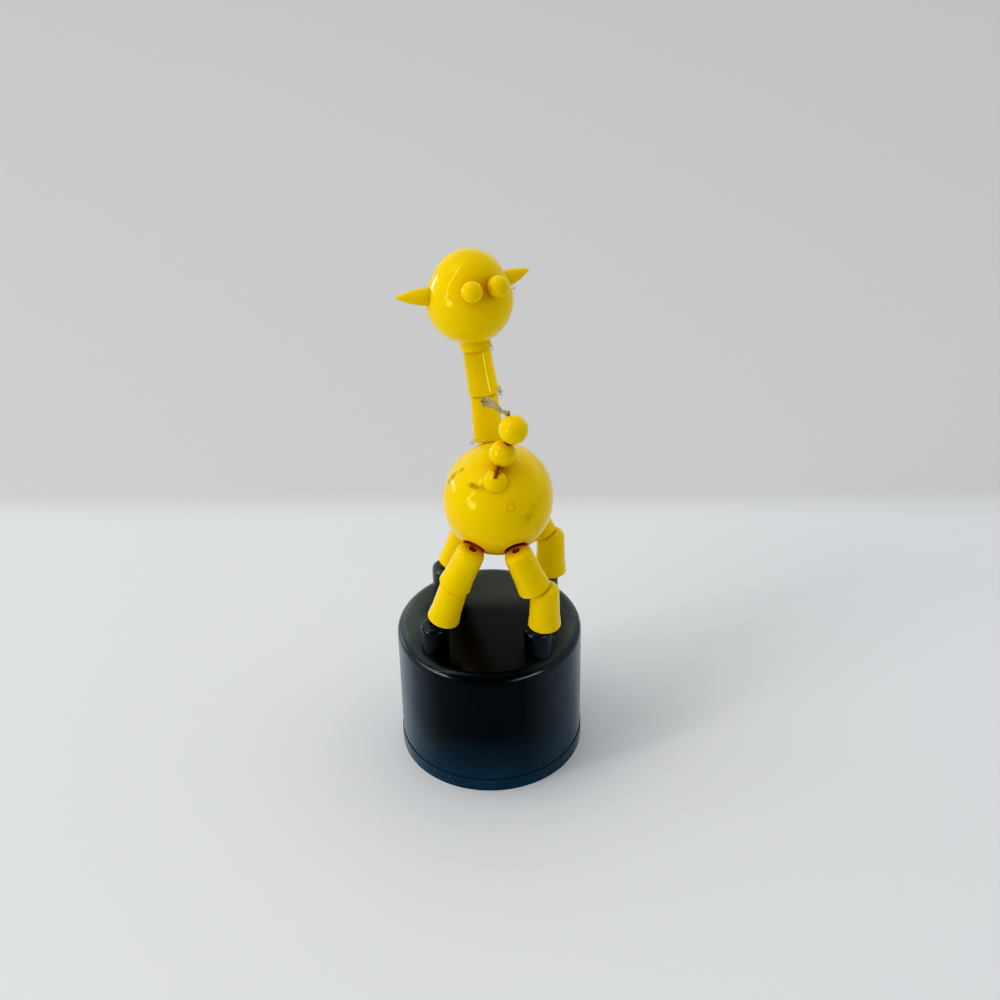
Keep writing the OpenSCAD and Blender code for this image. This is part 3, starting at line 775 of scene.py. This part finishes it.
def add_tail_knot(bm, route):
    """One turn of thread round the line, just above the hole."""
    axis = (route[2] - route[0]).normalized()
    u, v = two_across(axis)
    loop = []
    for k in range(20):
        up = TAIL_KNOT_AT + TAIL_KNOT_CLIMB * k / 18
        loop.append(route[1] + up * axis + TAIL_KNOT_R * around(k / 3, u, v))
    add_twist(bm, loop, TAIL_KNOT_THREAD, rings_per_mm=8.0)


def add_fibre(bm, k, route):
    """One loose fibre: it leaves the thread, wavers on its way and ends in the tuft."""
    side = rng.uniform(-1, 1)
    back = rng.uniform(-1, 1)
    begin = rng.choice(LEAVES_AT)
    near, far = [Vector(p) * MM for p in TUFT_TO]
    reach = rng.uniform(0.5, 1.0)
    tip = near.lerp(far, reach * (1 - 0.6 * abs(side)))
    last = FIBRE_POINTS - 1
    line = []
    for i, p in enumerate(resample(route[begin:] + [near.lerp(tip, 0.5), tip], FIBRE_POINTS)):
        f = i / last
        seed = Vector((k * 3.7, f * 2.5, 0))
        waver = Vector([mnoise.noise(seed + Vector((0, 0, 5.0 * m))) for m in range(3)])
        line.append(p + MM * side * opening(f) * TUFT_ACROSS + TUFT_DEPTH * back * TUFT_DEEP
                    + FIBRE_WAVER * (0.3 + f) * waver)
    thick = rng.uniform(0.05, 0.08) * MM
    tube(bm, line, [thick * (1 - 0.45 * (i / last) ** 3) for i in range(FIBRE_POINTS)], FIBRE_SIDES)


def tail_thread():
    bm = bmesh.new()
    route = [Vector(p) * MM for p in TAIL_ROUTE]
    add_twist(bm, route[:BOUND_POINTS], STRING_R, fray=0.8)
    add_tail_knot(bm, route)
    for k in range(FIBRES):
        add_fibre(bm, k, route)
    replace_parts(link("tail_thread_tuft", bm, THREAD, "tail_outer"), "tail_thread")


tail_thread()


# Moulding flash: name, body, centre in mm, way out, way along the edge, size in mm, number of slivers
FLASH = [
    ("flash_neck_foot", "neck_lower", (-2.75, 5.6, 70.0), (-0.85, -0.3, 0.45), (-0.1, 0.4, 0.9), 0.9, 5),
    ("flash_neck_middle", "neck_upper", (1.95, 10.4, 78.9), (0.85, -0.2, -0.5), (0.1, 0.3, 0.95), 1.3, 9),
    ("flash_collar", "collar", (0.35, 12.2, 87.6), (0.9, -0.2, -0.35), (0.1, 0.7, 0.7), 0.9, 5),
    ("flash_ear", "head", (4.6, 15.0, 98.9), (0.9, -0.25, -0.5), (0.4, 0.3, 0.8), 0.8, 4),
]
SLIVER_ROWS = 6
SLIVER_THICK = 0.03 * MM
# Bend and sway of a sliver as a share of its reach, and how much narrower it is at its tip
SLIVER_BEND = 0.7
SLIVER_SWAY = 0.4
SLIVER_TAPER = 0.8
SLIVER_CORNERS = ((-1, -1), (1, -1), (1, 1), (-1, 1))


def sliver(bm, k, centre, out, along, size):
    """One sliver that narrows and curls on its way out."""
    at = centre + along * rng.uniform(-0.5, 0.5) * size * MM
    bend = out.cross(along) * rng.uniform(-1, 1)
    width = rng.uniform(0.10, 0.20) * size * MM
    reach = rng.uniform(0.45, 1.0) * size * MM
    rows = []
    for i in range(SLIVER_ROWS):
        f = i / (SLIVER_ROWS - 1)
        p = (at + out * reach * f + bend * reach * SLIVER_BEND * f * f
             + along * reach * SLIVER_SWAY * math.sin(3 * f + k))
        half = width * (1 - SLIVER_TAPER * f) * 0.5
        thick = SLIVER_THICK * (1 - 0.5 * f)
        rows.append([bm.verts.new(p + sx * half * along + sy * thick * out.cross(along))
                     for sx, sy in SLIVER_CORNERS])
    skin(bm, rows)


def burr(name, body, centre, out, along, size, count):
    """Ragged slivers of moulding flash curling off an edge."""
    bm = bmesh.new()
    for k in range(count):
        sliver(bm, k, Vector(centre) * MM, Vector(out).normalized(), Vector(along).normalized(), size)
    link(name, bm, BURR, body, smooth=False)


for flash in FLASH:
    burr(*flash)


# Floor and lights
PAPER_HALF = 4.0
PAPER_DARK = (0.73, 0.745, 0.755)
PAPER_PALE = (0.76, 0.768, 0.778)
# Painted shade of the paper past the fold
PAPER_PAST_FOLD_SHADE = (0.625, 0.625, 0.615)
# A soft fold in the paper behind the object is not built; past it the paper is painted a little darker, as
# the shade of the paper beyond the fold
FOLD_Y = 88 * MM
FOLD_SLOPE = 0.07
FOLD_STOPS = [(0.452, 0.0), (0.485, 0.35), (0.525, 1.0)]
LAMPS_AIM = Vector((0, 0, 60 * MM))
DAYLIGHT = (1.0, 0.99, 0.97)
LAMP_WHITE = (1.0, 0.99, 0.96)
SKY = (0.88, 0.90, 0.92)
SKY_STRENGTH = 1.02
CUP = ["base_cup"]
NECK_BEADS = ["neck_lower_bead", "neck_upper_bead"]


def pale_floor():
    h = PAPER_HALF
    mesh = bpy.data.meshes.new("floor")
    mesh.from_pydata([(-h, -h, 0), (h, -h, 0), (h, h, 0), (-h, h, 0)], [], [(0, 1, 2, 3)])
    obj = bpy.data.objects.new("floor", mesh)
    bpy.context.scene.collection.objects.link(obj)
    mat, t, shader, coords = new_material("floor_look")
    at = coords["Object"]
    paper = mix_rgb(t, noise(t, at, 6.0), PAPER_DARK, PAPER_PALE)
    place = split_xyz(t, at)
    behind = math_node(t, "ADD", place["Y"], times(t, place["X"], -FOLD_SLOPE))
    # Painted shade: the paper past the fold is darker
    past = ramp(t, math_node(t, "DIVIDE", behind, 2 * FOLD_Y), FOLD_STOPS)
    dress(t, shader, {"Base Color": mix_rgb(t, past, paper, PAPER_PAST_FOLD_SHADE), "Roughness": 0.6,
                      "Specular IOR Level": 0.2})
    mesh.materials.append(mat)


def lamp(name, width, length, power, colour, place, axes):
    """A rectangular light that the camera doesn't see, placed as seen from the lamps' aim."""
    data = bpy.data.lights.new(name, "AREA")
    data.energy = power
    data.color = colour
    data.shape = "RECTANGLE"
    data.size = width
    data.size_y = length
    obj = bpy.data.objects.new(name, data)
    bpy.context.scene.collection.objects.link(obj)
    obj.matrix_world = Matrix.Translation(LAMPS_AIM + place) @ axes.to_4x4()
    obj.visible_camera = False
    return obj


def area_light(name, direction, reach, width, length, power, colour=LAMP_WHITE):
    d = Vector(direction).normalized()
    axes = d.to_track_quat("Z", "Y").to_matrix()
    return lamp(name, width, length, power, colour, reach * d, axes)


def strip_light(name, from_dir, to_dir, width, power):
    """Thin straight light whose ends are one metre off in two directions."""
    a = Vector(from_dir).normalized()
    b = Vector(to_dir).normalized()
    y = (b - a).normalized()
    z = ((a + b) / 2).normalized()
    x = y.cross(z).normalized()
    axes = Matrix((x, y, x.cross(y))).transposed()
    return lamp(name, width, (b - a).length, power, LAMP_WHITE, (a + b) / 2, axes)


def lights_on(light, names, state):
    """Keep a light to some nodes (INCLUDE) or off them (EXCLUDE)."""
    group = bpy.data.collections.new(light.name + "_receivers")
    for name in names:
        group.objects.link(frame["nodes"][name])
    for item in group.collection_objects:
        item.light_linking.link_state = state
    light.light_linking.receiver_collection = group


def world_light():
    """Even studio light, darker where the photographer stood."""
    world = bpy.data.worlds.new("studio")
    bpy.context.scene.world = world
    world.use_nodes = True
    t = world.node_tree
    way = t.nodes.new("ShaderNodeTexCoord").outputs["Generated"]
    photographer = Vector((math.sin(AZIMUTH), -math.cos(AZIMUTH) * 0.9, 0.45)).normalized()
    facing = node(t, "ShaderNodeVectorMath", {0: way, 1: tuple(photographer)}, operation="DOT_PRODUCT")
    light = ramp(t, facing.outputs["Value"], [(0.25, 1.0), (0.80, 0.35)])
    dress(t, t.nodes["Background"], {"Color": mix_rgb(t, 1.0, light, SKY, "MULTIPLY"),
                                     "Strength": SKY_STRENGTH})


def studio_lights():
    area_light("window_left", (-0.62, -0.08, 0.78), 2.0, 1.3, 1.0, 4.7, DAYLIGHT)
    left_low = area_light("lamp_left_low", (-0.76, -0.64, 0.19), 1.0, 0.30, 0.22, 1.8)
    lights_on(left_low, NECK_BEADS, "EXCLUDE")
    right_low = area_light("lamp_right_low", (0.74, -0.67, 0.12), 1.0, 0.60, 0.20, 4.2)
    lights_on(right_low, CUP, "INCLUDE")
    left_base = area_light("lamp_left_base", (-0.88, -0.47, 0.12), 1.0, 0.66, 0.20, 3.6)
    lights_on(left_base, CUP, "INCLUDE")
    neck = strip_light("strip_neck", (0.80, -0.60, -0.04), (0.85, -0.50, 0.26), 0.04, 1.5)
    lights_on(neck, NECK_BEADS, "INCLUDE")
    strip_light("strip_high", (-0.20, 0.17, 0.97), (-0.62, -0.40, 0.67), 0.03, 1.1)
    strip_light("strip_side", (-0.64, -0.42, 0.63), (-0.88, -0.42, 0.22), 0.03, 0.9)
    strip_light("strip_rim", (-0.78, 0.60, -0.04), (-0.96, 0.24, 0.06), 0.05, 0.5)


pale_floor()
world_light()
studio_lights()
